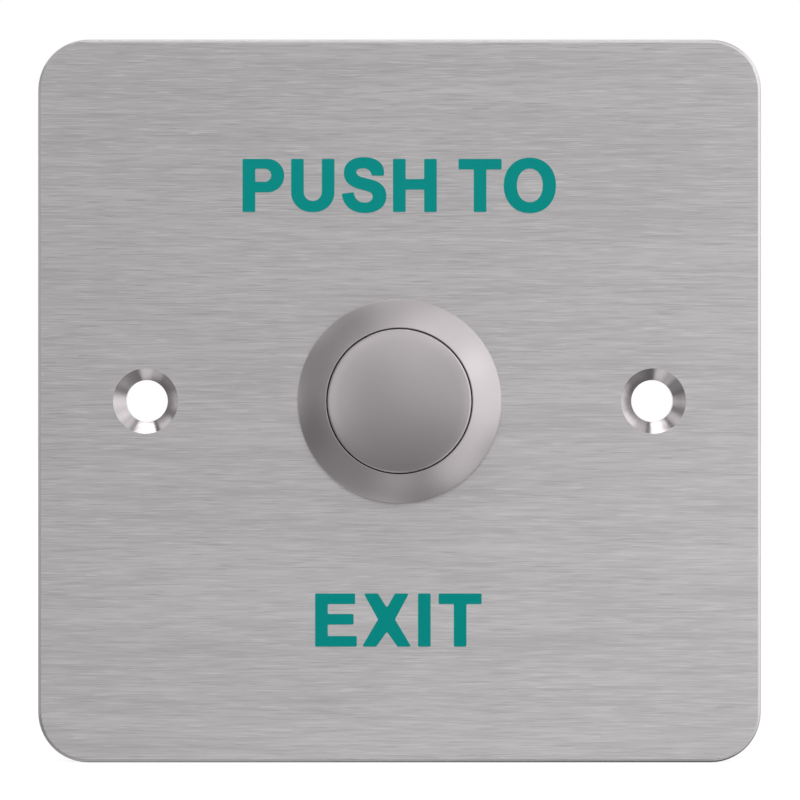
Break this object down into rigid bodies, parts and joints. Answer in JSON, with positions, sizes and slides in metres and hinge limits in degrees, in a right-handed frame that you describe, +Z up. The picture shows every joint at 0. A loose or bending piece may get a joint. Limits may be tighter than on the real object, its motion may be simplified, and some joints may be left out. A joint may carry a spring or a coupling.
{
  "type": "door exit button",
  "caption": "Square brushed steel wall plate with two countersunk fixing holes and a sprung metal push button with changeover contacts behind it.",
  "frame": {"origin": "middle of the plate's back face, half way between the two fixing holes, on the wall's surface", "axes": "+Y into the wall along the button's axis, the front faces -Y; +X to the right seen from the front; +Z up"},
  "size_m": [0.086, 0.0236, 0.086],
  "materials": {
    "brushed_plate": "horizontally brushed stainless steel",
    "satin_metal": "fine turned satin",
    "cap_metal": "fine satin",
    "plated_steel": "nickel plated",
    "screw_steel": "zinc plated",
    "spring_steel": "drawn wire",
    "seal_rubber": "matte black",
    "plunger_plastic": "natural",
    "base_plastic": "moulded black",
    "terminal_brass": "bright",
    "contact_silver": "silver"
  },
  "bodies": {
    "housing": {"face_plate": "brushed_plate", "bezel_housing": "satin_metal", "bezel_gasket": "seal_rubber", "lock_washer": "plated_steel", "mounting_nut": "plated_steel", "return_spring": "spring_steel", "contact_cover": "base_plastic", "switch_base": "base_plastic", "base_retaining_ring": "spring_steel", "terminal_com": "terminal_brass", "terminal_no": "terminal_brass", "terminal_nc": "terminal_brass", "fixed_contact_no": "contact_silver", "fixed_contact_nc": "contact_silver", "wire_clamps": "plated_steel", "terminal_screws": "screw_steel"},
    "button": {"button_cap": "cap_metal", "cap_o_ring": "seal_rubber", "plunger": "plunger_plastic"},
    "contact_arm": {"moving_contact": "terminal_brass", "moving_contact_rivet": "contact_silver"}
  },
  "joints": [
    {"name": "button_press", "type": "slide", "parent": "housing", "child": "button", "axis": [0, 1, 0], "range_m": [0, 0.002], "stiffness_N_per_m": 900, "springref_m": -0.0025, "deforming": ["return_spring"]},
    {"name": "contact_swing", "type": "hinge", "parent": "housing", "child": "contact_arm", "pos_m": [0, 0.00665, 0.0065], "axis": [1, 0, 0], "range_deg": [0, 17.6]}
  ],
  "couplings": [
    {"joint": "contact_swing", "follows": "button_press", "rad_per_m": 153}
  ]
}
